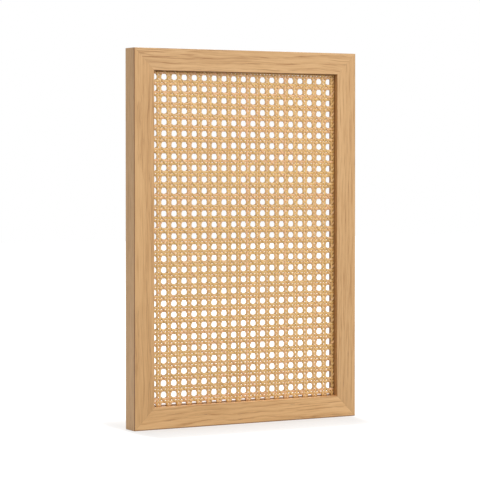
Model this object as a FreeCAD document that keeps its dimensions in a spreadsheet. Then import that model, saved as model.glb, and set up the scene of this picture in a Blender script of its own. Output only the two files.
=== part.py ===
"""A low divider panel: mitred oak frame, six-way cane webbing, stop beads, dowels and pins.

Millimetres. The panel stands on Z = 0 in the XZ plane with its front facing -Y, and the origin is at
the middle of its bottom edge. Each frame member, bead, row of pins and dowel is built on the bottom
side, from the bottom left corner, and turned about Y to its own side of the panel.
"""
import FreeCAD, Part
import os
from collections import namedtuple

import Sketcher
from FreeCAD import Placement, Rotation, Vector

# Driving sizes: name, value, what it is.
SIZES = (
    ("panel_width", 360.0, "frame, outside width"),
    ("panel_height", 532.0, "frame, outside height"),
    ("panel_thickness", 28.5, "frame, front to back"),
    ("face_width", 31.0, "frame member, outer edge to the opening"),
    ("lip_thickness", 8.4, "front lip that the webbing is pulled against"),
    ("rebate_width", 10.0, "step behind the lip, from the opening outwards"),
    ("arris_radius", 0.8, "rounding of the frame's long edges"),
    ("mesh_pitch", 15.875, "webbing, hole to hole, five eighths of an inch"),
    ("mesh_shift_x", -2.6, "middle hole, to the right of the panel's middle"),
    ("mesh_shift_z", 3.35, "middle hole, above the panel's middle"),
    ("strand_width", 3.5, "cane of the upright and crosswise pairs"),
    ("pair_gap", 0.75, "between the two strands of a pair"),
    ("diagonal_width", 2.7, "cane of the diagonals"),
    ("strand_thickness", 0.7, "all cane, front to back"),
    ("webbing_margin", 0.5, "webbing's cut edge to the rebate's wall"),
    ("bead_clearance", 0.2, "stop bead to the rebate's wall"),
    ("bead_proud", 1.4, "stop bead past the lip, into the opening"),
    ("bead_round", 1.5, "rounding of the stop bead's back edge"),
    ("back_reveal", 6.8, "stop bead's back to the frame's back"),
    ("dowel_diameter", 6.0, "corner dowel"),
    ("dowel_length", 22.0, "corner dowel"),
    ("dowel_chamfer", 0.8, "corner dowel's ends"),
    ("dowel_spacing", 11.5, "front dowel to back dowel of one corner"),
    ("dowel_clearance", 0.05, "dowel to its hole, all round"),
    ("dowel_end_room", 1.0, "room for glue at each end of a dowel"),
    ("dowel_cover", 2.5, "wood between a dowel hole's end and the outer edge"),
    ("pin_diameter", 1.25, "stop bead's pin"),
    ("pin_length", 20.0, "stop bead's pin"),
    ("pin_tip", 2.0, "pointed end of a pin"),
    ("pin_point", 0.3, "diameter of a pin's blunt point"),
    ("pin_clearance", 0.03, "pin to its hole, all round"),
    ("pin_sink", 1.0, "pin's head below the bead's face"),
    ("pin_inset", 35.0, "opening's corner to the nearest pin"),
    ("pin_spacing", 130.0, "longest step between pins"),
)

# A side of the panel: the frame member's kind and length, its turn about Y, the corner where its own
# X axis starts, and that corner's place as shares of the panel's width and height.
Side = namedtuple("Side", "name kind length turn corner share_x share_z")
SIDES = (
    Side("bottom", "rail", "Sizes.panel_width", 0, "bottom_left", -0.5, 0),
    Side("right", "stile", "Sizes.panel_height", -90, "bottom_right", 0.5, 0),
    Side("top", "rail", "Sizes.panel_width", 180, "top_right", 0.5, 1),
    Side("left", "stile", "Sizes.panel_height", 90, "top_left", -0.5, 1),
)

# The side whose corner the webbing is laid out from.
WEBBING_SIDE = SIDES[0]

# The dowels of a corner, and the side of the panel's middle that each lies on.
DOWELS = {"front": -1, "back": 1}

# The webbing's layers, from the front.
LAYERS = ("falling", "crosswise", "upright", "rising")

# Depths, from the panel's middle towards its back.
FRONT_Y = "(-Sizes.panel_thickness / 2)"
BACK_Y = "(Sizes.panel_thickness / 2)"
WEBBING_Y = f"({FRONT_Y} + Sizes.lip_thickness)"
LAYER_Y = {name: f"({WEBBING_Y} + {n} * Sizes.strand_thickness)" for n, name in enumerate(LAYERS)}
BEAD_Y = f"({WEBBING_Y} + {len(LAYERS)} * Sizes.strand_thickness)"
BEAD_BACK_Y = f"({BACK_Y} - Sizes.back_reveal)"
PIN_Y = f"(({BEAD_Y} + {BEAD_BACK_Y}) / 2)"

# Heights across a side, from the panel's outer edge to the opening.
OUTER_EDGE = "0"
OPENING_EDGE = "Sizes.face_width"
REBATE_WALL = f"({OPENING_EDGE} - Sizes.rebate_width)"
BEAD_SEAT = f"({REBATE_WALL} + Sizes.bead_clearance)"
BEAD_EDGE = f"({OPENING_EDGE} + Sizes.bead_proud)"
SHEET_EDGE = f"({REBATE_WALL} + Sizes.webbing_margin)"
PIN_HEAD = f"({BEAD_EDGE} - Sizes.pin_sink)"
FIRST_PIN = f"({OPENING_EDGE} + Sizes.pin_inset)"

# Sizes of holes, and the place along both sides of a corner where its dowels cross the mitre.
PIN_BORE = "(Sizes.pin_diameter / 2 + Sizes.pin_clearance)"
DOWEL_BORE = "(Sizes.dowel_diameter / 2 + Sizes.dowel_clearance)"
DOWEL_HOLE = "(Sizes.dowel_length + 2 * Sizes.dowel_end_room)"
DOWEL_CROSSING = f"(Sizes.dowel_cover + ({DOWEL_HOLE} / 2 + {DOWEL_BORE}) / sqrt(2))"

# The webbing's cut edges, from the panel's bottom left corner.
SHEET_RIGHT = f"(Sizes.panel_width - {SHEET_EDGE})"
SHEET_TOP = f"(Sizes.panel_height - {SHEET_EDGE})"
SHEET_WIDTH = f"({SHEET_RIGHT} - {SHEET_EDGE})"
SHEET_HEIGHT = f"({SHEET_TOP} - {SHEET_EDGE})"
PAIR_REACH = "(Sizes.strand_width + Sizes.pair_gap / 2)"

ALONG_Y = Vector(0, 1, 0)
UP = Vector(0, 0, 1)
OUTWARDS = Rotation(UP, Vector(0, 0, -1))
INTO_START = Rotation(UP, Vector(1, 0, -1))
INTO_END = Rotation(UP, Vector(-1, 0, -1))

# Points nearer than this are taken as one when an edge is looked for.
SAME_PLACE = 0.001

doc = FreeCAD.newDocument("divider_panel")
bodies = []


def make_sheet():
    """Put the driving sizes into the spreadsheet, one named cell each."""
    sheet = doc.addObject("Spreadsheet::Sheet", "Sizes")
    for row, (name, value, note) in enumerate(SIZES, 1):
        sheet.set(f"A{row}", note)
        sheet.set(f"B{row}", str(value))
        sheet.setAlias(f"B{row}", name)
    doc.recompute()


def new_body(label, side):
    """Start a sub-part with its own origin at the corner of the panel where a side starts."""
    body = doc.addObject("PartDesign::Body", label)
    body.Label = label
    body.AllowCompound = True
    body.Placement = Placement(Vector(), Rotation(ALONG_Y, side.turn))
    body.setExpression("Placement.Base.x", f"{side.share_x} * Sizes.panel_width")
    body.setExpression("Placement.Base.z", f"{side.share_z} * Sizes.panel_height")
    bodies.append(body)
    return body


def own_axis(body, role):
    """One of the body's own axes or planes."""
    return next(item for item in body.Origin.OriginFeatures if item.Role == role)


def outline(body, name, depth, *loops, across="0"):
    """Sketch closed outlines in the body's XZ plane at a depth, each corner as two expressions."""
    sketch = body.newObject("Sketcher::SketchObject", f"{body.Label}_{name}")
    sketch.AttachmentSupport = [(own_axis(body, "XZ_Plane"), "")]
    sketch.MapMode = "FlatFace"
    sketch.setExpression("AttachmentOffset.Base.x", across)
    sketch.setExpression("AttachmentOffset.Base.z", f"-{depth}")
    for loop in loops:
        corners = [Vector(sketch.evalExpression(x), sketch.evalExpression(z), 0) for x, z in loop]
        ends = corners[1:] + corners[:1]
        lines = [sketch.addGeometry(Part.LineSegment(*pair)) for pair in zip(corners, ends)]
        for line, after in zip(lines, lines[1:] + lines[:1]):
            sketch.addConstraint(Sketcher.Constraint("Coincident", line, 2, after, 1))
        for line, corner, (x, z) in zip(lines, corners, loop):
            tie_corner(sketch, line, "DistanceX", corner.x, x)
            tie_corner(sketch, line, "DistanceY", corner.y, z)
    return sketch


def tie_corner(sketch, line, direction, value, expression):
    """Tie the start of a line to the sizes, as a distance from the sketch's origin."""
    number = sketch.addConstraint(Sketcher.Constraint(direction, -1, 1, line, 1, value))
    sketch.setExpression(f"Constraints[{number}]", expression)


def rectangle(low_x, low_z, high_x, high_z):
    """Corners of an upright rectangle for outline()."""
    return (low_x, low_z), (high_x, low_z), (high_x, high_z), (low_x, high_z)


def pad_back(body, sketch, length):
    """Extrude a sketch towards the panel's back."""
    pad = body.newObject("PartDesign::Pad", f"{body.Label}_pad")
    pad.Profile = sketch
    pad.Reversed = True
    pad.setExpression("Length", length)
    doc.recompute()
    return pad


def cut_front(body, sketch, length):
    """Cut a sketch's outline towards the panel's front."""
    before = body.Shape.Volume
    pocket = body.newObject("PartDesign::Pocket", f"{body.Label}_pocket")
    pocket.Profile = sketch
    pocket.Reversed = True
    pocket.setExpression("Length", length)
    doc.recompute()
    if body.Shape.Volume >= before:
        raise RuntimeError(f"{pocket.Label} cuts nothing")
    return pocket


def round_object(body, kind, name, turn, place, **sizes):
    """Add or bore a cylinder or cone that starts at a place, with its sizes tied to the sheet."""
    item = body.newObject(f"PartDesign::{kind}", f"{body.Label}_{name}")
    item.Placement = Placement(Vector(), turn)
    for axis, value in zip("xyz", place):
        item.setExpression(f"Placement.Base.{axis}", value)
    for size, value in sizes.items():
        item.setExpression(size, value)
    doc.recompute()
    return item


def repeat(body, originals, role, step, count):
    """Repeat features along one of the body's axes."""
    pattern = body.newObject("PartDesign::LinearPattern", f"{body.Label}_pattern")
    pattern.Originals = originals
    pattern.Direction = (own_axis(body, role), [""])
    pattern.Mode = "Spacing"
    pattern.setExpression("Offset", step)
    pattern.setExpression("Occurrences", count)
    body.Tip = pattern
    doc.recompute()


def ease_edges(body, kind, feature, names, **sizes):
    """Round or bevel some edges of a feature."""
    item = body.newObject(f"PartDesign::{kind}", f"{body.Label}_{kind.lower()}")
    item.Base = (feature, names)
    for size, value in sizes.items():
        item.setExpression(size, value)
    doc.recompute()


def long_edges(body, feature, *places):
    """Names of a feature's edges along X that pass through some places, each a depth and a height."""
    wanted = [Vector(0, body.evalExpression(y), body.evalExpression(z)) for y, z in places]
    names = []
    for number, edge in enumerate(feature.Shape.Edges, 1):
        box = edge.BoundBox
        passes = Vector(0, box.Center.y, box.Center.z)
        straight_along = max(box.YLength, box.ZLength) < SAME_PLACE
        if straight_along and any(passes.distanceToPoint(place) < SAME_PLACE for place in wanted):
            names.append(f"Edge{number}")
    return names


def mitred_bar(body, length, low_edge, high_edge, front, back):
    """A bar along a side, between two heights across it, with both ends cut on the corners' mitres."""
    trapezoid = (
        (low_edge, low_edge),
        (f"{length} - {low_edge}", low_edge),
        (f"{length} - {high_edge}", high_edge),
        (high_edge, high_edge),
    )
    return pad_back(body, outline(body, "face", front, trapezoid), f"{back} - {front}")


def pin_row(length):
    """The step between the pins of a side, and the number of pins."""
    span = f"({length} - 2 * {OPENING_EDGE} - 2 * Sizes.pin_inset)"
    steps = f"ceil({span} / Sizes.pin_spacing)"
    return f"{span} / {steps}", f"{steps} + 1"


def bore_for_pins(body, length):
    """Bore the row of pin holes of a side, from the bead's face outwards."""
    start = (FIRST_PIN, PIN_Y, f"{BEAD_EDGE} + Sizes.pin_sink")
    depth = "2 * Sizes.pin_sink + Sizes.pin_length"
    hole = round_object(
        body, "SubtractiveCylinder", "pin_hole", OUTWARDS, start, Radius=PIN_BORE, Height=depth)
    repeat(body, [hole], "X_Axis", *pin_row(length))


def dowel_start(length, depth_sign):
    """Start of a dowel or of its hole, at the corner where a side starts."""
    across = f"({DOWEL_CROSSING} - {length} / 2 / sqrt(2))"
    height = f"({DOWEL_CROSSING} + {length} / 2 / sqrt(2))"
    return across, f"{depth_sign} * Sizes.dowel_spacing / 2", height


def make_frame_member(side):
    """A mitred stile or rail with its front lip, rebate, dowel holes and pin holes."""
    body = new_body(f"{side.name}_{side.kind}", side)
    mitred_bar(body, side.length, OUTER_EDGE, OPENING_EDGE, FRONT_Y, BACK_Y)
    step = rectangle("0", REBATE_WALL, side.length, OPENING_EDGE)
    rebate = cut_front(body, outline(body, "rebate", BACK_Y, step), f"{BACK_Y} - {WEBBING_Y}")
    front_arrises = (FRONT_Y, OUTER_EDGE), (FRONT_Y, OPENING_EDGE)
    back_arrises = (BACK_Y, OUTER_EDGE), (BACK_Y, REBATE_WALL)
    arrises = long_edges(body, rebate, *front_arrises, *back_arrises)
    ease_edges(body, "Fillet", rebate, arrises, Radius="Sizes.arris_radius")
    hole = {"Radius": DOWEL_BORE, "Height": DOWEL_HOLE}
    for name, depth_sign in DOWELS.items():
        across, depth, height = dowel_start(DOWEL_HOLE, depth_sign)
        at_start = (across, depth, height)
        at_end = (f"{side.length} - {across}", depth, height)
        round_object(body, "SubtractiveCylinder", f"{name}_start_hole", INTO_START, at_start, **hole)
        round_object(body, "SubtractiveCylinder", f"{name}_end_hole", INTO_END, at_end, **hole)
    bore_for_pins(body, side.length)


def make_dowels(side):
    """The front and back dowel of the corner where a side starts."""
    for name, depth_sign in DOWELS.items():
        body = new_body(f"{side.corner}_{name}_dowel", side)
        start = dowel_start("Sizes.dowel_length", depth_sign)
        peg = round_object(
            body, "AdditiveCylinder", "peg", INTO_START, start,
            Radius="Sizes.dowel_diameter / 2", Height="Sizes.dowel_length")
        rims = [f"Edge{number}" for number, edge in enumerate(peg.Shape.Edges, 1) if edge.isClosed()]
        ease_edges(body, "Chamfer", peg, rims, Size="Sizes.dowel_chamfer")


def make_bead(side):
    """The mitred stop bead that holds one edge of the webbing."""
    body = new_body(f"{side.name}_bead", side)
    bar = mitred_bar(body, side.length, BEAD_SEAT, BEAD_EDGE, BEAD_Y, BEAD_BACK_Y)
    back_edge = long_edges(body, bar, (BEAD_BACK_Y, BEAD_EDGE))
    ease_edges(body, "Fillet", bar, back_edge, Radius="Sizes.bead_round")
    bore_for_pins(body, side.length)


def make_pins(side):
    """The row of pins that goes through a stop bead into its frame member."""
    body = new_body(f"{side.name}_bead_pins", side)
    point = f"{PIN_HEAD} - Sizes.pin_length"
    half_section = (
        ("0", PIN_HEAD),
        ("Sizes.pin_diameter / 2", PIN_HEAD),
        ("Sizes.pin_diameter / 2", f"{point} + Sizes.pin_tip"),
        ("Sizes.pin_point / 2", point),
        ("0", point),
    )
    sketch = outline(body, "half_section", PIN_Y, half_section, across=FIRST_PIN)
    pin = body.newObject("PartDesign::Revolution", f"{body.Label}_turned")
    pin.Profile = sketch
    pin.ReferenceAxis = (sketch, ["V_Axis"])
    doc.recompute()
    repeat(body, [pin], "X_Axis", *pin_row(side.length))


def mesh_lines(middle, shift, reach):
    """First of the lines midway between holes within reach of a middle, and how many there are."""
    first = f"ceil(0.5 - ({reach} + {shift}) / Sizes.mesh_pitch)"
    last = f"floor(0.5 + ({reach} - {shift}) / Sizes.mesh_pitch)"
    return f"({middle} + {shift} + ({first} - 0.5) * Sizes.mesh_pitch)", f"{last} - {first} + 1"


def pair_edges(middle):
    """Near and far edge of each strand of a pair, on both sides of its middle line."""
    edges = []
    for away in (-1, 1):
        near = f"({middle} + {away} * Sizes.pair_gap / 2)"
        edges.append((near, f"({near} + {away} * Sizes.strand_width)"))
    return edges


def make_upright_strands():
    """The pairs of strands that run up the webbing."""
    body = new_body("cane_upright_strands", WEBBING_SIDE)
    reach = f"({SHEET_WIDTH} / 2 - {PAIR_REACH})"
    first, count = mesh_lines("Sizes.panel_width / 2", "Sizes.mesh_shift_x", reach)
    strands = [rectangle(near, SHEET_EDGE, far, SHEET_TOP) for near, far in pair_edges(first)]
    pair = pad_back(body, outline(body, "pair", LAYER_Y["upright"], *strands), "Sizes.strand_thickness")
    repeat(body, [pair], "X_Axis", "Sizes.mesh_pitch", count)


def make_crosswise_strands():
    """The pairs of strands that run across the webbing."""
    body = new_body("cane_crosswise_strands", WEBBING_SIDE)
    reach = f"({SHEET_HEIGHT} / 2 - {PAIR_REACH})"
    first, count = mesh_lines("Sizes.panel_height / 2", "Sizes.mesh_shift_z", reach)
    strands = [rectangle(SHEET_EDGE, near, SHEET_RIGHT, far) for near, far in pair_edges(first)]
    pair = pad_back(body, outline(body, "pair", LAYER_Y["crosswise"], *strands), "Sizes.strand_thickness")
    repeat(body, [pair], "Z_Axis", "Sizes.mesh_pitch", count)


def make_diagonals(layer, rise):
    """The single strands that rise (1) or fall (-1) to the right at 45 degrees, cut to the sheet."""
    body = new_body(f"cane_{layer}_diagonals", WEBBING_SIDE)
    opening_span = f"(Sizes.panel_width + Sizes.panel_height - 4 * {OPENING_EDGE})"
    shift = f"(Sizes.mesh_shift_z - {rise} * Sizes.mesh_shift_x)"
    first, count = mesh_lines("Sizes.panel_height / 2", shift, f"{opening_span} / 2")
    climb = f"{rise} * {SHEET_WIDTH} / 2"
    half_width = "Sizes.diagonal_width / sqrt(2)"
    strand = (
        (SHEET_EDGE, f"{first} - {climb} - {half_width}"),
        (SHEET_RIGHT, f"{first} + {climb} - {half_width}"),
        (SHEET_RIGHT, f"{first} + {climb} + {half_width}"),
        (SHEET_EDGE, f"{first} - {climb} + {half_width}"),
    )
    strip = pad_back(body, outline(body, "strand", LAYER_Y[layer], strand), "Sizes.strand_thickness")
    repeat(body, [strip], "Z_Axis", "Sizes.mesh_pitch", count)
    above = rectangle(SHEET_EDGE, SHEET_TOP, SHEET_RIGHT, f"{SHEET_TOP} + {SHEET_WIDTH}")
    below = rectangle(SHEET_EDGE, f"{SHEET_EDGE} - {SHEET_WIDTH}", SHEET_RIGHT, SHEET_EDGE)
    layer_back = f"({LAYER_Y[layer]} + Sizes.strand_thickness)"
    cut_front(body, outline(body, "trim", layer_back, above, below), "Sizes.strand_thickness")


def write_parts():
    """Check the whole document, then write each sub-part under its own name."""
    failed = [item.Label for item in doc.Objects if {"Invalid", "Error"} & set(item.State)]
    failed += [body.Label for body in bodies if body.Shape.isNull() or not body.Shape.isValid()]
    if failed:
        raise RuntimeError(f"failed: {failed}")
    os.makedirs("parts", exist_ok=True)
    for body in bodies:
        body.Shape.exportStep(f"parts/{body.Label}.step")
        print(body.Label, len(body.Shape.Solids), "solids", round(body.Shape.Volume), "mm3")


make_sheet()
for panel_side in SIDES:
    make_frame_member(panel_side)
    make_dowels(panel_side)
    make_bead(panel_side)
    make_pins(panel_side)
make_upright_strands()
make_crosswise_strands()
make_diagonals("rising", 1)
make_diagonals("falling", -1)
doc.recompute()
write_parts()
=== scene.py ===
"""Looks of the cane divider panel: oak frame, woven cane, pale floor, soft light and camera."""
import math
import random
from collections import namedtuple

import bpy
import numpy as np
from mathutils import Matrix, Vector


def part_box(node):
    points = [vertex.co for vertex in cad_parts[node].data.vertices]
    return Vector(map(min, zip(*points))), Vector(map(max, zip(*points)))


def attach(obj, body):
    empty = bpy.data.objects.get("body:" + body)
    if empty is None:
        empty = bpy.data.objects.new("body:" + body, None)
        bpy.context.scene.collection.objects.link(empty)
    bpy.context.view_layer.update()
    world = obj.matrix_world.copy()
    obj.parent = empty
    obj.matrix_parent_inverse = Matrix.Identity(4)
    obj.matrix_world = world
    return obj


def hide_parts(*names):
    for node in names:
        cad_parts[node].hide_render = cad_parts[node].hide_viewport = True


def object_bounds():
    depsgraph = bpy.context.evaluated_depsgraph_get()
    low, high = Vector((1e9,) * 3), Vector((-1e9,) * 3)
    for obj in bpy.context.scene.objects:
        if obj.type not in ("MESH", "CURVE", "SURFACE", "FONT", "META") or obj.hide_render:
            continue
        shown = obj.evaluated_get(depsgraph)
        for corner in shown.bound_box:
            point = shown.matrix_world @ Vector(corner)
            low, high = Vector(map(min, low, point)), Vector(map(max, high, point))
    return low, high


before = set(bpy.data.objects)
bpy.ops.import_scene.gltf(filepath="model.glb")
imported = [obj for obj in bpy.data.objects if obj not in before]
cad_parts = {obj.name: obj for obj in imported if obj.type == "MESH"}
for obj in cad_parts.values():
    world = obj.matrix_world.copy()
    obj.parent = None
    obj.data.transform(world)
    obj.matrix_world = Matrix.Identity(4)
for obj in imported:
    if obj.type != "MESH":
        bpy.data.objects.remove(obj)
CAD_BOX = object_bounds()

MM = 0.001

# The panel as the frame gives it, in metres: it stands on z = 0 and its front looks along -Y.
PANEL_LOW, PANEL_HIGH = CAD_BOX
MIDDLE = (PANEL_LOW + PANEL_HIGH) / 2
HALF_WIDTH = (PANEL_HIGH.x - PANEL_LOW.x) / 2
HALF_HEIGHT = (PANEL_HIGH.z - PANEL_LOW.z) / 2
FACE_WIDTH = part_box("left_stile")[1].x - PANEL_LOW.x
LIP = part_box("cane_falling_diagonals")[0].y - PANEL_LOW.y

# The woven sheet ends a little inside the flat one, which leaves room to pull it.
SHEET_ROOM = Vector((0.8 * MM, 0.0, 0.8 * MM))
SHEET_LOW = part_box("cane_falling_diagonals")[0] + SHEET_ROOM
SHEET_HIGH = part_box("cane_rising_diagonals")[1] - SHEET_ROOM
SHEET_MIDDLE_Y = (SHEET_LOW.y + SHEET_HIGH.y) / 2

# The webbing: one hole about every five eighths of an inch, between pairs of strands. It was pulled a
# little narrower and out of square when it was fixed.
PITCH_X = 15.82 * MM
PITCH_Z = 15.861 * MM
MESH_SHIFT_X = -2.68 * MM
MESH_SHIFT_Z = 3.04 * MM
MESH_SKEW = -0.00625
UPRIGHT_WIDTH = 3.5 * MM
CROSSWISE_WIDTH = 3.55 * MM
DIAGONAL_WIDTH = 2.7 * MM
PAIR_GAP = 0.82 * MM
STRAND_THICKNESS = 0.88 * MM

# It isn't quite even either. Aside and up, a slow wave of some reach and length pulls it from some start,
# and it is twisted: metres for each square metre across and up from its middle.
Pull = namedtuple("Pull", "reach length start twist")
PULL_ASIDE = Pull(0.48 * MM, 253 * MM, -92 * MM, -0.0185)
PULL_UP = Pull(-0.60 * MM, 290 * MM, 211 * MM, -0.0142)

# How a straight strand passes a crossing: it turns over in the middle, keeps its height over
# the other strand and comes back to the middle of the sheet before the diagonals.
CROSSING_START = 0.3 * MM
CROSSING_TURN = 1.0 * MM
CROSSING_HOLD = 3.3 * MM
CROSSING_END = 5.2 * MM
CROSSING_RINGS = (CROSSING_START, CROSSING_TURN, CROSSING_HOLD, CROSSING_END)

# How a diagonal passes the pairs: it keeps its height across a pair and changes sides in the hole's corner.
DIAGONAL_INNER = 1.7 * MM
DIAGONAL_HOLD = 3.3 * MM
DIAGONAL_END = PITCH_X / 2 - DIAGONAL_HOLD
DIAGONAL_RINGS = (DIAGONAL_INNER, DIAGONAL_HOLD, PITCH_X / 4, DIAGONAL_END, PITCH_X / 2 - DIAGONAL_INNER)

# Diagonals are counted from this many before the sheet's corner to as many after it.
DIAGONAL_SPARE = 2

# Rings keep this distance from a strand's ends, and their places are rounded to this many digits.
RING_ROOM = 0.2 * MM
RING_DIGITS = 7

# A strand's section, anticlockwise: across in half widths, up in thicknesses. The skin side is crowned,
# less so on the diagonals.
SECTION_ACROSS = np.array((0.80, 1.00, 0.78, 0.30, -0.30, -0.78, -1.00, -0.80))
STRAIGHT_UP = np.array((-0.50, -0.10, 0.30, 0.48, 0.48, 0.30, -0.10, -0.50))
DIAGONAL_UP = np.array((-0.50, 0.00, 0.42, 0.48, 0.48, 0.42, 0.00, -0.50))

# How much hand-split strands differ, and how far along its pattern a strand may start.
WIDTH_SPREAD = 0.05
THICKNESS_SPREAD = 0.06
WOBBLE = 0.10 * MM
WOBBLE_LENGTH = (45 * MM, 120 * MM)
ROLL = math.radians(5)
PATTERN_START = 10.0
UPRIGHT_SEED = 41
CROSSWISE_SEED = 42
RISING_SEED = 44
FALLING_SEED = 42

# A strand that changes sides within this length is in a deep corner of the weave, which gets painted shade.
DIVE_LENGTH = 1.6 * MM

# Free margins of a strand's strip on the bake sheet: at its sides in strips, at its ends in sheets.
STRIP_SIDE = 0.04
STRIP_END = 0.01


# Materials

WHITE = (1.0, 1.0, 1.0, 1.0)
NOISE_MIDDLE = 0.5
RAMP_MIDDLE = 0.5

# The mix node's colour sockets: its factor and two colours, and its result.
MIX_INPUTS = (0, 6, 7)
MIX_RESULT = 2

# Noise drawn out along a grain: how often it changes along and across, its detail and its roughness.
Grain = namedtuple("Grain", "along across detail roughness", defaults=(2.0, 0.5))


def opaque(value):
    """A colour, or a grey level, with full alpha."""
    return (*value, 1.0) if isinstance(value, tuple) else (value, value, value, 1.0)


def fill_ramp(ramp, stops):
    """Grey or colour ramp through (place, value) stops."""
    elements = ramp.color_ramp.elements
    while len(elements) < len(stops):
        elements.new(RAMP_MIDDLE)
    for element, (place, value) in zip(elements, stops):
        element.position = place
        element.color = opaque(value)


class Look:
    """A node material around one principled shader."""

    def __init__(self, name):
        self.material = bpy.data.materials.new(name)
        self.material.use_nodes = True
        self.nodes = self.material.node_tree.nodes
        self.links = self.material.node_tree.links
        self.shader = self.nodes["Principled BSDF"]

    def feed(self, socket, value):
        if isinstance(value, bpy.types.NodeSocket):
            self.links.new(value, socket)
        else:
            socket.default_value = value

    def node(self, kind, inputs=None, **settings):
        made = self.nodes.new("ShaderNode" + kind)
        for name, value in settings.items():
            setattr(made, name, value)
        for name, value in (inputs or {}).items():
            self.feed(made.inputs[name], value)
        return made

    def math(self, operation, *values):
        return self.node("Math", dict(enumerate(values)), operation=operation).outputs[0]

    def times(self, first, second):
        return self.math("MULTIPLY", first, second)

    def axes(self):
        place = self.node("TexCoord").outputs["Object"]
        return self.node("SeparateXYZ", {0: place}).outputs

    def vector(self, *values):
        return self.node("CombineXYZ", dict(enumerate(values))).outputs[0]

    def noise(self, place, detail=2.0, roughness=0.5):
        """Noise at a place that is already scaled."""
        inputs = {"Vector": place, "Scale": 1.0, "Detail": detail, "Roughness": roughness}
        return self.node("TexNoise", inputs).outputs["Fac"]

    def grain(self, kind, along, across, deep):
        place = self.vector(self.times(along, kind.along), self.times(across, kind.across), deep)
        return self.noise(place, kind.detail, kind.roughness)

    def speckle(self, scales, detail):
        """Noise with a scale of its own along each axis."""
        axes = self.axes()
        scaled = (self.times(axes[axis], scale) for axis, scale in zip("XYZ", scales))
        return self.noise(self.vector(*scaled), detail)

    def fit(self, value, low, high, to_low=0.0, to_high=1.0):
        """Value taken smoothly from one range to another, and held at its ends."""
        inputs = {"Value": value, "From Min": low, "From Max": high, "To Min": to_low, "To Max": to_high}
        return self.node("MapRange", inputs, interpolation_type="SMOOTHSTEP").outputs["Result"]

    def ramp(self, factor, stops):
        made = self.node("ValToRGB", {"Fac": factor})
        fill_ramp(made, stops)
        return made.outputs["Color"]

    def mix(self, factor, first, second, blend="MIX"):
        made = self.node("Mix", data_type="RGBA", blend_type=blend)
        for index, value in zip(MIX_INPUTS, (factor, first, second)):
            self.feed(made.inputs[index], opaque(value) if isinstance(value, tuple) else value)
        return made.outputs[MIX_RESULT]

    def tint(self, colour, tint):
        return self.mix(1.0, colour, tint, "MULTIPLY")

    def shade(self, colour, factor, tint):
        """Colour taken by a factor towards its tinted self."""
        return self.mix(factor, colour, self.tint(colour, tint))

    def attribute(self, name):
        return self.node("Attribute", attribute_name=name).outputs["Fac"]

    def bump(self, height, distance, strength):
        inputs = {"Height": height, "Distance": distance, "Strength": strength}
        self.feed(self.shader.inputs["Normal"], self.node("Bump", inputs).outputs["Normal"])

    def surface(self, **values):
        for name, value in values.items():
            self.feed(self.shader.inputs[name.replace("_", " ")], value)


def edge_distances(look, axes):
    """Distances from the nearer of the frame's outer sides and from the nearer of its ends."""
    sideways = look.math("ABSOLUTE", look.math("SUBTRACT", axes["X"], MIDDLE.x))
    upward = look.math("ABSOLUTE", look.math("SUBTRACT", axes["Z"], MIDDLE.z))
    return look.math("SUBTRACT", HALF_WIDTH, sideways), look.math("SUBTRACT", HALF_HEIGHT, upward)


# The webbing

def ease(values):
    held = np.clip(values, 0.0, 1.0)
    return held * held * (3.0 - 2.0 * held)


def straight_wave(distance):
    """Height of a strand before and after the middle of a crossing: under one strand, over the next."""
    near = np.abs(distance)
    turn = np.sin(np.clip(near / CROSSING_TURN, 0.0, 1.0) * math.pi / 2)
    settle = 1.0 - ease((near - CROSSING_HOLD) / (CROSSING_END - CROSSING_HOLD))
    return np.sign(distance) * turn * settle * STRAND_THICKNESS / 2


def diagonal_wave(distance):
    """Height of a diagonal: under one pair at distance 0, over the other pair half a pitch on."""
    near = np.abs(distance)
    return (2.0 * ease((near - DIAGONAL_HOLD) / (DIAGONAL_END - DIAGONAL_HOLD)) - 1.0) * STRAND_THICKNESS


def skewed(x):
    """How far the crosswise strands have slid up at x: the webbing is stretched a little out of square."""
    return MESH_SKEW * (x - MIDDLE.x)


def pulled(centres):
    """How far the webbing is pulled aside and up at rows of x and z."""
    twist = (centres[:, 0] - MIDDLE.x) * (centres[:, 1] - MIDDLE.z)
    moves = []
    for places, pull in zip(centres.T, (PULL_ASIDE, PULL_UP)):
        wave = pull.reach * np.sin((places - pull.start) * math.tau / pull.length)
        moves.append(wave + pull.twist * twist)
    return np.stack(moves, axis=1)


def pair_lines(middle, shift, pitch, low, high):
    """Middles of the pairs that lie between two edges of the sheet."""
    first = middle + shift - pitch / 2
    start = math.ceil((low - first) / pitch)
    stop = math.floor((high - first) / pitch)
    return [first + count * pitch for count in range(start, stop + 1)]


UPRIGHT_ROOM = UPRIGHT_WIDTH + PAIR_GAP / 2
CROSSWISE_ROOM = CROSSWISE_WIDTH + PAIR_GAP / 2
UPRIGHT_LINES = pair_lines(MIDDLE.x, MESH_SHIFT_X, PITCH_X, SHEET_LOW.x + UPRIGHT_ROOM,
                           SHEET_HIGH.x - UPRIGHT_ROOM)
CROSSWISE_LINES = pair_lines(MIDDLE.z, MESH_SHIFT_Z, PITCH_Z, SHEET_LOW.z + CROSSWISE_ROOM,
                             SHEET_HIGH.z - CROSSWISE_ROOM)


def ring_places(low, high, line, pitch, offsets):
    """Places of a strand's rings: offsets on both sides of every line that it crosses, and its ends."""
    first = math.floor((low - line) / pitch)
    last = math.ceil((high - line) / pitch)
    near = [sign * offset for offset in offsets for sign in (-1, 1)]
    places = {round(line + count * pitch + offset, RING_DIGITS)
              for count in range(first, last + 1) for offset in (*near, pitch / 2)}
    within = sorted(place for place in places if low + RING_ROOM < place < high - RING_ROOM)
    return np.array([low, *within, high])


def distance_to(places, line, pitch):
    """Distance of each place from the nearest of the evenly spaced lines."""
    return (places - line + pitch / 2) % pitch - pitch / 2


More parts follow.
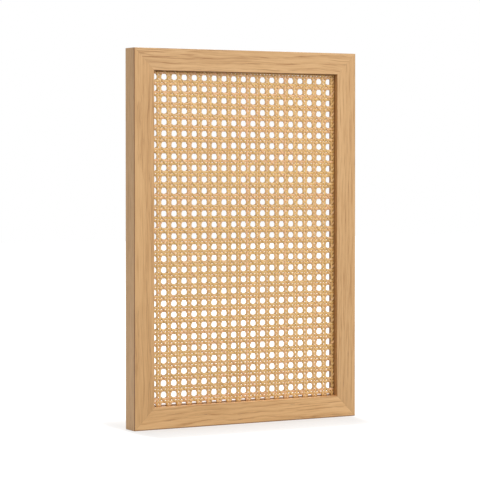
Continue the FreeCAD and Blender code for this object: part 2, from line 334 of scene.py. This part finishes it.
class Webbing:
    """One mesh of many strands, each with its own tone and small faults."""

    def __init__(self, seed, section_up):
        self.chance = random.Random(seed)
        self.section_up = section_up
        self.points = []
        self.faces = []
        self.rows = []
        self.marks = {"tone": [], "along": [], "across": [], "slit": [], "dive": []}

    def waver(self, along, amount):
        length = self.chance.uniform(*WOBBLE_LENGTH)
        phase = self.chance.uniform(0, math.tau)
        return amount * np.sin(along * math.tau / length + phase)

    def add(self, centres, heights, width, slit_side=0):
        """One strand along centres, rows of x and z, at heights towards the front.

        The slit of its pair is on the strand's left (1) or right (-1), if it has one.
        """
        centres = centres + pulled(centres)
        along = np.linalg.norm(centres - centres[0], axis=1)
        direction = (centres[-1] - centres[0]) / along[-1]
        side = np.array((-direction[1], direction[0]))
        wide = width / 2 * self.chance.uniform(1 - WIDTH_SPREAD, 1 + WIDTH_SPREAD)
        thick = STRAND_THICKNESS * self.chance.uniform(1 - THICKNESS_SPREAD, 1 + THICKNESS_SPREAD)
        sway = self.waver(along, WOBBLE)[:, None]
        roll = self.waver(along, ROLL)[:, None]
        across = SECTION_ACROSS * wide
        up = self.section_up * thick
        shifted = across * np.cos(roll) - up * np.sin(roll) + sway
        raised = across * np.sin(roll) + up * np.cos(roll) + heights[:, None]
        rings = np.empty((len(along), len(across), 3))
        rings[..., 0] = centres[:, :1] + side[0] * shifted
        rings[..., 1] = SHEET_MIDDLE_Y - raised
        rings[..., 2] = centres[:, 1:] + side[1] * shifted
        dive = np.abs(np.gradient(heights, along)) * DIVE_LENGTH / STRAND_THICKNESS
        self.store(rings, along, np.clip(dive, 0.0, 1.0), slit_side)

    def store(self, rings, along, dive, slit_side):
        count, sides = rings.shape[:2]
        first = sum(len(part) for part in self.points)
        index = first + np.arange(count * sides).reshape(count, sides)
        turned = np.roll(index, -1, axis=1)
        quads = np.stack((index[:-1], turned[:-1], turned[1:], index[1:]), axis=-1).reshape(-1, 4)
        self.faces.append((quads, index[0][::-1], index[-1]))
        self.points.append(rings.reshape(-1, 3))
        self.rows.append((along, sides))
        start = self.chance.uniform(0, PATTERN_START)
        self.marks["tone"].append(np.full(count * sides, self.chance.random()))
        self.marks["along"].append(np.repeat(start + along, sides))
        self.marks["across"].append(np.tile(SECTION_ACROSS, count))
        self.marks["slit"].append(np.tile(SECTION_ACROSS * slit_side, count))
        self.marks["dive"].append(np.repeat(dive, sides))

    def bake_strips(self):
        """Places on the bake sheet: every strand unrolled into an upright strip of its own."""
        longest = max(along[-1] for along, _ in self.rows)
        outline = np.hypot(np.diff(SECTION_ACROSS, append=SECTION_ACROSS[0]) * UPRIGHT_WIDTH / 2,
                           np.diff(self.section_up, append=self.section_up[0]) * STRAND_THICKNESS)
        around = np.concatenate(((0.0,), np.cumsum(outline))) / outline.sum()
        places = []
        for number, (along, sides) in enumerate(self.rows):
            across = (number + STRIP_SIDE + (1 - 2 * STRIP_SIDE) * around) / len(self.rows)
            up = STRIP_END + (1 - 2 * STRIP_END) * along / longest
            left, right = np.meshgrid(across[:-1], up), np.meshgrid(across[1:], up)
            corner = [np.stack(grid, axis=-1) for grid in (left, right)]
            strip = np.stack((corner[0][:-1], corner[1][:-1], corner[1][1:], corner[0][1:]), axis=2)
            ends = [np.stack((across[:-1], np.full(sides, level)), axis=-1) for level in (up[0], up[-1])]
            places.append((strip.reshape(-1, 2), ends[0][::-1], ends[1]))
        return np.concatenate([part.reshape(-1, 2) for strand in places for part in strand])

    def finish(self, name, node):
        mesh = bpy.data.meshes.new(name)
        faces = []
        for quads, start, end in self.faces:
            faces += quads.tolist() + [start.tolist(), end.tolist()]
        mesh.from_pydata(np.concatenate(self.points).tolist(), [], faces)
        mesh.uv_layers.new(name="OFBake").data.foreach_set("uv", self.bake_strips().ravel())
        for mark, values in self.marks.items():
            mesh.attributes.new(mark, "FLOAT", "POINT").data.foreach_set("value", np.concatenate(values))
        mesh.polygons.foreach_set("use_smooth", [True] * len(mesh.polygons))
        mesh.update()
        piece = bpy.data.objects.new(name, mesh)
        bpy.context.scene.collection.objects.link(piece)
        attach(piece, "root")
        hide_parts(node)
        return piece


def weave_uprights():
    webbing = Webbing(UPRIGHT_SEED, STRAIGHT_UP)
    for line in UPRIGHT_LINES:
        for turn in (-1, 1):
            x = line + turn * (UPRIGHT_WIDTH + PAIR_GAP) / 2
            first = CROSSWISE_LINES[0] + skewed(x)
            places = ring_places(SHEET_LOW.z, SHEET_HIGH.z, first, PITCH_Z, CROSSING_RINGS)
            centres = np.stack((np.full(len(places), x), places), axis=1)
            wave = straight_wave(distance_to(places, first, PITCH_Z))
            webbing.add(centres, turn * wave, UPRIGHT_WIDTH, turn)
    return webbing.finish("woven_uprights", "cane_upright_strands")


def weave_crosswise():
    webbing = Webbing(CROSSWISE_SEED, STRAIGHT_UP)
    places = ring_places(SHEET_LOW.x, SHEET_HIGH.x, UPRIGHT_LINES[0], PITCH_X, CROSSING_RINGS)
    wave = straight_wave(distance_to(places, UPRIGHT_LINES[0], PITCH_X))
    for line in CROSSWISE_LINES:
        for turn in (-1, 1):
            level = line + turn * (CROSSWISE_WIDTH + PAIR_GAP) / 2
            centres = np.stack((places, level + skewed(places)), axis=1)
            webbing.add(centres, -turn * wave, CROSSWISE_WIDTH, -turn)
    return webbing.finish("woven_crosswise", "cane_crosswise_strands")


def weave_diagonals(rise, seed, name, node):
    """Diagonals that rise (1) or fall (-1) from left to right, through the middles of the links.

    Their ends are square and stand at a slant, so they stop half a width before the sheet's edge.
    """
    webbing = Webbing(seed, DIAGONAL_UP)
    room = DIAGONAL_WIDTH / 2
    steepness = rise * PITCH_Z / PITCH_X
    slope = steepness + MESH_SKEW
    first = CROSSWISE_LINES[0] + PITCH_Z / 2 - steepness * UPRIGHT_LINES[0] - MESH_SKEW * MIDDLE.x
    columns = math.ceil((SHEET_HIGH.x - SHEET_LOW.x) / PITCH_X)
    rows = math.ceil((SHEET_HIGH.z - SHEET_LOW.z) / PITCH_Z)
    for count in range(-columns - DIAGONAL_SPARE, rows + columns + DIAGONAL_SPARE):
        start = first + count * PITCH_Z
        ends = sorted(((SHEET_LOW.z + room - start) / slope, (SHEET_HIGH.z - room - start) / slope))
        low = max(SHEET_LOW.x + room, ends[0])
        high = min(SHEET_HIGH.x - room, ends[1])
        if high - low < PITCH_X / 2:
            continue
        places = ring_places(low, high, UPRIGHT_LINES[0], PITCH_X, DIAGONAL_RINGS)
        wave = -rise * diagonal_wave(distance_to(places, UPRIGHT_LINES[0], PITCH_X))
        webbing.add(np.stack((places, start + slope * places), axis=1), wave, DIAGONAL_WIDTH)
    return webbing.finish(name, node)


# The cane's looks. The strands' patterns lie up to a step apart. A range gives the two values between
# which a mark comes in, and how much of it shows at each, if that isn't none and all. A bump is a depth
# and a strength.
STRAND_STEP = 60.0
CANE_TONES = ((0.0, (0.88, 0.59, 0.31)), (0.3, (0.82, 0.54, 0.21)), (0.55, (0.92, 0.56, 0.31)),
              (0.8, (0.84, 0.56, 0.22)), (1.0, (0.94, 0.64, 0.30)))
CANE_MOTTLE = Grain(45.0, 1.0, detail=3.0)
CANE_MOTTLE_RANGE = (0.35, 0.75)
CANE_MOTTLE_TINT = (0.80, 0.76, 0.68)
CANE_FIBRE = Grain(160.0, 7.0, detail=3.0, roughness=0.6)
CANE_FIBRE_RANGE = (0.45, 0.72, 0.0, 0.55)
CANE_FIBRE_TINT = (0.72, 0.64, 0.54)
CANE_FLECK = Grain(420.0, 1.5, detail=1.0)
CANE_FLECK_RANGE = (0.34, 0.66)
CANE_FLECK_TINTS = ((0.0, (0.80, 0.74, 0.64)), (1.0, (1.12, 1.12, 1.10)))
# The strands' edges are darker: partly their cut fibre, partly painted shade where the strands meet and
# cross.
CANE_EDGE_RANGE = (0.68, 1.0)
CANE_EDGE_TINT = (0.70, 0.54, 0.35)
STRAIGHT_EDGE_SHADE = 0.8
DIAGONAL_EDGE_SHADE = 0.25
# The slit side of a paired strand is pale gold: partly the paler cut fibre, partly a painted highlight.
CANE_SLIT_RANGE = (0.38, 0.9)
CANE_SLIT_COLOUR = (1.0, 0.61, 0.17)
# Where a strand dives under another it gets painted shade, as in the weave's deep corners.
CANE_DIVE_RANGE = (0.15, 0.9, 0.0, 0.35)
CANE_DIVE_SHADE_TINT = (0.50, 0.40, 0.28)
# The cane along the frame's opening gets a painted shadow of the lip.
CANE_RIM_RANGE = (FACE_WIDTH + 0.5 * MM, FACE_WIDTH + 1.5 * MM, 0.9, 0.0)
CANE_RIM_SHADOW_TINT = (0.52, 0.36, 0.20)
CANE_ROUGHNESS = (0.3, 0.7, 0.34, 0.52)
CANE_COAT = 0.15
CANE_COAT_ROUGHNESS = 0.25
CANE_BUMP = (0.06 * MM, 0.6)


def cane_look(name, edge_shade):
    look = Look(name)
    tone = look.attribute("tone")
    along = look.attribute("along")
    across = look.attribute("across")
    strand = look.times(tone, STRAND_STEP)
    mottle = look.grain(CANE_MOTTLE, along, across, strand)
    fibre = look.grain(CANE_FIBRE, along, across, strand)
    fleck = look.fit(look.grain(CANE_FLECK, along, across, strand), *CANE_FLECK_RANGE)
    edge = look.fit(look.math("ABSOLUTE", across), *CANE_EDGE_RANGE, 0.0, edge_shade)
    slit = look.fit(look.attribute("slit"), *CANE_SLIT_RANGE)
    dive = look.fit(look.attribute("dive"), *CANE_DIVE_RANGE)
    outer = look.math("MINIMUM", *edge_distances(look, look.axes()))

    colour = look.ramp(tone, CANE_TONES)
    colour = look.shade(colour, look.fit(mottle, *CANE_MOTTLE_RANGE), CANE_MOTTLE_TINT)
    colour = look.shade(colour, look.fit(fibre, *CANE_FIBRE_RANGE), CANE_FIBRE_TINT)
    colour = look.tint(colour, look.ramp(fleck, CANE_FLECK_TINTS))
    # Darker strand edges: partly cut fibre, partly painted shade where the strands meet.
    colour = look.shade(colour, edge, CANE_EDGE_TINT)
    # Pale gold on the slit side: partly cut fibre, partly a painted highlight.
    colour = look.mix(slit, colour, CANE_SLIT_COLOUR)
    # Painted shade where a strand dives under another.
    colour = look.shade(colour, dive, CANE_DIVE_SHADE_TINT)
    # Painted shadow of the lip along the frame's opening.
    colour = look.shade(colour, look.fit(outer, *CANE_RIM_RANGE), CANE_RIM_SHADOW_TINT)

    look.surface(Base_Color=colour, Roughness=look.fit(fibre, *CANE_ROUGHNESS), Coat_Weight=CANE_COAT,
                 Coat_Roughness=CANE_COAT_ROUGHNESS)
    look.bump(fibre, *CANE_BUMP)
    return look.material


def make_webbing():
    straight = cane_look("cane_straight", STRAIGHT_EDGE_SHADE)
    diagonal = cane_look("cane_diagonal", DIAGONAL_EDGE_SHADE)
    pieces = (
        (weave_uprights(), straight),
        (weave_crosswise(), straight),
        (weave_diagonals(1, RISING_SEED, "woven_rising_diagonals", "cane_rising_diagonals"), diagonal),
        (weave_diagonals(-1, FALLING_SEED, "woven_falling_diagonals", "cane_falling_diagonals"), diagonal),
    )
    for piece, cane in pieces:
        piece.data.materials.append(cane)


# The wood

# A board of the frame: the axes along and across its grain, its own draw of the grain, the place of the
# tree's heart, across and deep, its tint, how far the grain runs off its edge and sways, the width of its
# rings and how strong they show, how dark and wide the line on its outer front arris is (partly painted
# shade), the tint of its face in the opening (painted shade, and painted light on the bottom rail's lip)
# and where that face starts.
Board = namedtuple(
    "Board", "grain across seed pith tint slant sway ring figure edge_line edge_reach reveal reveal_start",
    defaults=(0.0, 6 * MM, 3.8 * MM, 0.8, 0.0, 0.8 * MM, (0.82, 0.74, 0.62), 0.6 * MM))

# Where the tree's heart lies across the boards of each side, and how far behind the panel's middle.
HEART_LEFT = PANEL_LOW.x + 8 * MM
HEART_RIGHT = PANEL_HIGH.x + 22 * MM
HEART_BOTTOM = PANEL_LOW.z - 22 * MM
HEART_TOP = PANEL_HIGH.z + 18 * MM
LEFT_HEART_DEPTH = 26 * MM
HEART_DEPTH = 30 * MM
BEAD_HEART_DEPTH = 40 * MM

# What both rails share.
RAIL_SWAY = 10 * MM
RAIL_RING = 5.6 * MM
RAIL_REVEAL_START = 0.05 * MM

BOARDS = {
    # The left stile's arris line is partly a dark line in the wood and partly painted shade.
    "left_stile": Board("Z", "X", 1, (HEART_LEFT, LEFT_HEART_DEPTH), (0.958, 0.937, 0.893),
                        slant=0.012, figure=0.6, edge_line=0.95),
    "right_stile": Board("Z", "X", 2, (HEART_RIGHT, HEART_DEPTH), (0.95, 0.945, 0.93),
                         slant=-0.010, edge_line=0.2),
    # The top rail's face in the opening gets a dark painted shade.
    "top_rail": Board("X", "Z", 3, (HEART_TOP, HEART_DEPTH), (1.0, 1.015, 1.03),
                      slant=0.022, sway=RAIL_SWAY, ring=RAIL_RING, figure=1.15, edge_line=0.1,
                      reveal=(0.42, 0.30, 0.18), reveal_start=RAIL_REVEAL_START),
    # The bottom rail's arris line is a painted contact shadow, and the top face of its lip gets painted
    # light.
    "bottom_rail": Board("X", "Z", 4, (HEART_BOTTOM, HEART_DEPTH), (1.12, 1.13, 1.13),
                         slant=-0.02, sway=RAIL_SWAY, ring=RAIL_RING, figure=0.95, edge_line=0.8,
                         edge_reach=1.6 * MM, reveal=(1.30, 1.30, 1.30), reveal_start=RAIL_REVEAL_START),
    "left_bead": Board("Z", "X", 5, (HEART_LEFT, BEAD_HEART_DEPTH), (0.95, 0.94, 0.92)),
    "right_bead": Board("Z", "X", 6, (HEART_RIGHT, BEAD_HEART_DEPTH), (0.93, 0.92, 0.90)),
    "top_bead": Board("X", "Z", 7, (HEART_TOP, BEAD_HEART_DEPTH), (0.96, 0.95, 0.94)),
    "bottom_bead": Board("X", "Z", 8, (HEART_BOTTOM, BEAD_HEART_DEPTH), (0.94, 0.93, 0.90)),
}

# The oak's figure. Each board starts this much further along the grain, the heart sways along it, and
# the rings waver.
BOARD_STEP = 0.73
HEART_RATE = 4.0
HEART_SWAY = 22 * MM
RING_WAVER = 4.0 * MM
SWAY_GRAIN = Grain(11.0, 16.0)
RING_GRAIN = Grain(9.0, 90.0)
BROAD_GRAIN = Grain(4.0, 50.0)
STREAK_GRAIN = Grain(20.0, 420.0, detail=3.0, roughness=0.6)
DASH_GRAIN = Grain(26.0, 560.0, roughness=0.55)
LINE_GRAIN = Grain(13.0, 640.0, detail=1.0)
LINE_PATCHES = Grain(7.0, 40.0)
FIBRE_GRAIN = Grain(45.0, 1400.0)
PORE_GRAIN = Grain(70.0, 2300.0, detail=1.0)

# How much early wood there is from a ring's start to its end.
EARLY_STOPS = ((0.0, 0.15), (0.07, 1.0), (0.26, 0.35), (0.60, 0.0), (1.0, 0.15))

# The ranges of the other marks, and how each of them colours the wood.
DASH_RANGE = (0.46, 0.62)
LINE_RANGE = (0.56, 0.64)
LINE_PATCH_RANGE = (0.46, 0.60)
FIBRE_RANGE = (0.40, 0.75, 0.0, 0.45)
PORE_RANGE = (0.58, 0.68)
PORE_EARLY_RANGE = (0.1, 0.7)
TONE_SHARE = 0.5
OAK_TONES = ((0.34, (0.565, 0.317, 0.127)), (0.50, (0.675, 0.400, 0.176)), (0.66, (0.740, 0.455, 0.211)))
EARLY_SHARE = 0.4
EARLY_TINT = (0.82, 0.75, 0.66)
DASH_TINT = (0.70, 0.60, 0.48)
LINE_SHARE = 0.85
LINE_TINT = (0.66, 0.55, 0.42)
FIBRE_TINT = (0.84, 0.79, 0.72)
PORE_SHARE = 0.6
PORE_COLOUR = (0.30, 0.16, 0.065)

# Lines and shades at the frame's edges: a dark line on the outer front arris, partly painted shade, and on
# the bottom rail a painted contact shadow; painted shade in the opening, but painted light on the bottom
# rail's lip; painted shade in the corner between the lip and the webbing; and dark joints in the mitres.
ARRIS_FADE = 0.3 * MM
ARRIS_FRONT_RANGE = (1.2 * MM, 1.8 * MM, 1.0, 0.0)
ARRIS_TINT = (0.36, 0.25, 0.16)
OPENING_RANGE = (FACE_WIDTH - 0.7 * MM, FACE_WIDTH - 0.25 * MM)
REVEAL_FADE = 0.9 * MM
LIP_CORNER_RANGE = (LIP - 2.2 * MM, LIP - 0.3 * MM, 0.0, 0.7)
LIP_CORNER_SHADE_TINT = (0.60, 0.50, 0.38)
MITRE_RANGE = (0.04 * MM, 0.16 * MM, 0.4, 0.0)
MITRE_COLOUR = (0.24, 0.13, 0.05)

OAK_ROUGHNESS = (0.3, 0.7, 0.44, 0.58)
OAK_COAT = 0.10
OAK_COAT_ROUGHNESS = 0.35
FIBRE_RELIEF = 0.4
EARLY_RELIEF = 0.25
OAK_BUMP = (0.09 * MM, 0.7)


def oak_look(name, board):
    look = Look(name)
    axes = look.axes()
    along = look.math("ADD", axes[board.grain], board.seed * BOARD_STEP)

    def grain(kind, across):
        return look.grain(kind, along, across, look.times(axes["Y"], kind.across))

    def swing(noise, reach):
        return look.times(look.math("SUBTRACT", noise, NOISE_MIDDLE), reach)

    straight = axes[board.across]
    swayed = look.math("ADD", straight, swing(grain(SWAY_GRAIN, straight), board.sway))
    across = look.math("ADD", swayed, look.times(axes[board.grain], board.slant))
    heart = swing(look.noise(look.vector(look.times(along, HEART_RATE), board.seed, 0.0)), HEART_SWAY)
    side = look.math("SUBTRACT", across, board.pith[0])
    deep = look.math("ADD", look.math("SUBTRACT", axes["Y"], board.pith[1]), heart)
    radius = look.math("SQRT", look.math("ADD", look.times(side, side), look.times(deep, deep)))
    radius = look.math("ADD", radius, swing(grain(RING_GRAIN, across), RING_WAVER))
    early = look.ramp(look.math("FRACT", look.math("DIVIDE", radius, board.ring)), EARLY_STOPS)
    dash = look.fit(grain(DASH_GRAIN, across), *DASH_RANGE)
    line = look.times(look.fit(grain(LINE_GRAIN, across), *LINE_RANGE),
                      look.fit(grain(LINE_PATCHES, across), *LINE_PATCH_RANGE))
    fibre = grain(FIBRE_GRAIN, across)
    pore = look.times(look.fit(grain(PORE_GRAIN, across), *PORE_RANGE), look.fit(early, *PORE_EARLY_RANGE))
    tone = look.math("ADD", look.times(grain(STREAK_GRAIN, across), TONE_SHARE),
                     look.times(grain(BROAD_GRAIN, across), TONE_SHARE))

    colour = look.tint(look.ramp(tone, OAK_TONES), board.tint)
    colour = look.shade(colour, look.times(early, EARLY_SHARE * board.figure), EARLY_TINT)
    colour = look.shade(colour, look.times(look.times(early, dash), board.figure), DASH_TINT)
    colour = look.shade(colour, look.times(line, LINE_SHARE * board.figure), LINE_TINT)
    colour = look.shade(colour, look.fit(fibre, *FIBRE_RANGE), FIBRE_TINT)
    colour = look.mix(look.times(pore, PORE_SHARE), colour, PORE_COLOUR)

    from_side, from_end = edge_distances(look, axes)
    outer = look.math("MINIMUM", from_side, from_end)
    front = look.math("SUBTRACT", axes["Y"], PANEL_LOW.y)
    mitre = look.math("ABSOLUTE", look.math("SUBTRACT", from_side, from_end))
    # A dark line on the outer front arris: partly painted shade, and a painted contact shadow on the bottom
    # rail.
    edge = look.fit(outer, board.edge_reach - ARRIS_FADE, board.edge_reach, board.edge_line, 0.0)
    colour = look.shade(colour, look.times(edge, look.fit(front, *ARRIS_FRONT_RANGE)), ARRIS_TINT)
    # The face in the opening gets painted shade from the board's reveal tint; on the bottom rail's lip it
    # is painted light.
    inner = look.fit(outer, *OPENING_RANGE)
    reveal = look.fit(front, board.reveal_start, board.reveal_start + REVEAL_FADE)
    colour = look.shade(colour, look.times(inner, reveal), board.reveal)
    # Painted shade in the corner between the lip and the webbing.
    corner = look.fit(front, *LIP_CORNER_RANGE)
    colour = look.shade(colour, look.times(inner, corner), LIP_CORNER_SHADE_TINT)
    colour = look.mix(look.fit(mitre, *MITRE_RANGE), colour, MITRE_COLOUR)

    look.surface(Base_Color=colour, Roughness=look.fit(fibre, *OAK_ROUGHNESS), Coat_Weight=OAK_COAT,
                 Coat_Roughness=OAK_COAT_ROUGHNESS)
    sunk = look.math("ADD", pore, look.times(early, EARLY_RELIEF))
    look.bump(look.math("SUBTRACT", look.times(fibre, FIBRE_RELIEF), sunk), *OAK_BUMP)
    return look.material


# The fixings

BEECH_SCALES = (160.0, 900.0, 900.0)
BEECH_DETAIL = 1.0
BEECH_FLECK_RANGE = (0.58, 0.66)
BEECH_COLOUR = (0.63, 0.42, 0.25)
BEECH_FLECK_COLOUR = (0.44, 0.25, 0.13)
BEECH_ROUGHNESS = (0.0, 1.0, 0.55, 0.65)
BEECH_BUMP = (0.05 * MM, 0.5)

STEEL_SCALES = (4000.0, 4000.0, 4000.0)
STEEL_DETAIL = 2.0
STEEL_TONES = ((0.3, (0.52, 0.51, 0.49)), (0.7, (0.64, 0.63, 0.61)))
STEEL_ROUGHNESS = (0.3, 0.7, 0.28, 0.42)
STEEL_BUMP = (0.02 * MM, 0.5)


def beech_look():
    """Dowels: pale and even, with short dark flecks."""
    look = Look("beech")
    fleck = look.fit(look.speckle(BEECH_SCALES, BEECH_DETAIL), *BEECH_FLECK_RANGE)
    colour = look.mix(fleck, BEECH_COLOUR, BEECH_FLECK_COLOUR)
    look.surface(Base_Color=colour, Roughness=look.fit(fleck, *BEECH_ROUGHNESS))
    look.bump(fleck, *BEECH_BUMP)
    return look.material


def steel_look():
    """Wire pins: bright, with fine marks."""
    look = Look("pin_steel")
    mark = look.speckle(STEEL_SCALES, STEEL_DETAIL)
    colour = look.ramp(mark, STEEL_TONES)
    look.surface(Base_Color=colour, Metallic=1.0, Roughness=look.fit(mark, *STEEL_ROUGHNESS))
    look.bump(mark, *STEEL_BUMP)
    return look.material


def dress(node, material):
    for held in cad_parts[node].material_slots:
        held.material = material


def dress_frame():
    for node, board in BOARDS.items():
        dress(node, oak_look("oak_" + node, board))


def dress_fixings():
    beech = beech_look()
    steel = steel_look()
    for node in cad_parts:
        if node.endswith("_dowel"):
            dress(node, beech)
        elif node.endswith("_pins"):
            dress(node, steel)


# The studio: the background shows white, but gives less light than it shows.

WORLD_LEVEL = 0.64
WORLD_SEEN_LEVEL = 1.0
FLOOR_GREY = 0.5
FLOOR_SIZE = 12.0
KEY_SIZE = 1.4
KEY_POWER = 30.5
KEY_PLACE = Vector((0.50, -2.1, 1.6))
BACK_SIZE = 1.4
BACK_POWER = 36.0
BACK_PLACE = Vector((0.6, 1.9, 1.9))

# The floor is lifted towards white with the distance from a patch under the panel: its reach across and
# deep, how far the patch keeps inside the panel's ends, its shift aside, and the grey levels on the way.
# The low lift near the foot paints a grey shade there on top of the real shadow, and the high lift further
# off washes the real shadow out.
FLOOR_LIFT_REACH = (0.3, 1.2)
FLOOR_LIFT_INSET = 18 * MM
FLOOR_LIFT_SHIFT = -10 * MM
FLOOR_LIFT_STOPS = ((0.0, 0.44), (0.05, 0.49), (0.066, 0.53), (0.085, 0.71), (1.0, 0.86))


def seen_directly(nodes, links):
    """1 for the rays that show the background itself: to the camera, in gloss and through glass."""
    path = nodes.new("ShaderNodeLightPath")
    total = path.outputs["Is Camera Ray"]
    for name in ("Is Glossy Ray", "Is Transmission Ray"):
        larger = nodes.new("ShaderNodeMath")
        larger.operation = "MAXIMUM"
        links.new(total, larger.inputs[0])
        links.new(path.outputs[name], larger.inputs[1])
        total = larger.outputs[0]
    return total


def make_world():
    world = bpy.data.worlds.new("studio")
    bpy.context.scene.world = world
    world.use_nodes = True
    nodes, links = world.node_tree.nodes, world.node_tree.links
    level = nodes.new("ShaderNodeMapRange")
    links.new(seen_directly(nodes, links), level.inputs["Value"])
    level.inputs["To Min"].default_value = WORLD_LEVEL
    level.inputs["To Max"].default_value = WORLD_SEEN_LEVEL
    nodes["Background"].inputs["Color"].default_value = WHITE
    links.new(level.outputs["Result"], nodes["Background"].inputs["Strength"])


def lift_by_distance(nodes, links):
    """Grey level that grows away from the panel's foot to keep its shadow close: painted shade near the
    foot.
    """
    def step(operation, first, second):
        made = nodes.new("ShaderNodeVectorMath")
        made.operation = operation
        links.new(first, made.inputs[0])
        made.inputs[1].default_value = second
        return made.outputs

    away = step("SUBTRACT", nodes.new("ShaderNodeTexCoord").outputs["Object"], (FLOOR_LIFT_SHIFT, 0, 0))[0]
    away = step("ABSOLUTE", away, (0, 0, 0))[0]
    away = step("SUBTRACT", away, (HALF_WIDTH - FLOOR_LIFT_INSET, PANEL_HIGH.y, 0))[0]
    away = step("MAXIMUM", away, (0, 0, 0))[0]
    away = step("MULTIPLY", away, (1 / FLOOR_LIFT_REACH[0], 1 / FLOOR_LIFT_REACH[1], 0))[0]
    ramp = nodes.new("ShaderNodeValToRGB")
    links.new(step("LENGTH", away, (0, 0, 0))["Value"], ramp.inputs["Fac"])
    fill_ramp(ramp, FLOOR_LIFT_STOPS)
    return ramp.outputs["Color"]


def make_floor():
    mesh = bpy.data.meshes.new("floor")
    reach = FLOOR_SIZE / 2
    mesh.from_pydata([(-reach, -reach, 0), (reach, -reach, 0), (reach, reach, 0), (-reach, reach, 0)],
                     [], [(0, 1, 2, 3)])
    floor = bpy.data.objects.new("floor", mesh)
    bpy.context.scene.collection.objects.link(floor)
    material = bpy.data.materials.new("white_floor")
    material.use_nodes = True
    nodes, links = material.node_tree.nodes, material.node_tree.links
    nodes.remove(nodes["Principled BSDF"])
    paint = nodes.new("ShaderNodeBsdfDiffuse")
    paint.inputs["Color"].default_value = opaque(FLOOR_GREY)
    lift = nodes.new("ShaderNodeEmission")
    links.new(seen_directly(nodes, links), lift.inputs["Strength"])
    links.new(lift_by_distance(nodes, links), lift.inputs["Color"])
    both = nodes.new("ShaderNodeAddShader")
    links.new(paint.outputs[0], both.inputs[0])
    links.new(lift.outputs[0], both.inputs[1])
    links.new(both.outputs[0], nodes["Material Output"].inputs["Surface"])
    mesh.materials.append(material)


def make_light(name, place, size, power):
    """A square light that looks at the panel's middle."""
    light = bpy.data.lights.new(name, "AREA")
    light.shape = "SQUARE"
    light.size = size
    light.energy = power
    lamp = bpy.data.objects.new(name, light)
    lamp.location = place
    lamp.rotation_euler = (MIDDLE - place).to_track_quat("-Z", "Y").to_euler()
    bpy.context.scene.collection.objects.link(lamp)


# The camera: a long lens from the left, a little tilted, the rest of the framing by a small shift.
CAMERA_PLACE = Vector((-1.4141, -2.5609, 0.3761))
CAMERA_TURN = math.radians(28.814)
CAMERA_TILT = math.radians(1.103)
CAMERA_LENS = 153.23
CAMERA_SENSOR = 36.0
CAMERA_SHIFT = -0.08455


def make_camera():
    camera = bpy.data.cameras.new("camera")
    camera.lens = CAMERA_LENS
    camera.sensor_width = CAMERA_SENSOR
    camera.shift_y = CAMERA_SHIFT
    holder = bpy.data.objects.new("camera", camera)
    holder.location = CAMERA_PLACE
    holder.rotation_euler = (math.pi / 2 - CAMERA_TILT, 0.0, -CAMERA_TURN)
    bpy.context.scene.collection.objects.link(holder)
    bpy.context.scene.camera = holder


bpy.context.scene.view_settings.view_transform = "Standard"
dress_frame()
dress_fixings()
make_webbing()
make_world()
make_floor()
make_light("key", KEY_PLACE, KEY_SIZE, KEY_POWER)
make_light("back", BACK_PLACE, BACK_SIZE, BACK_POWER)
make_camera()
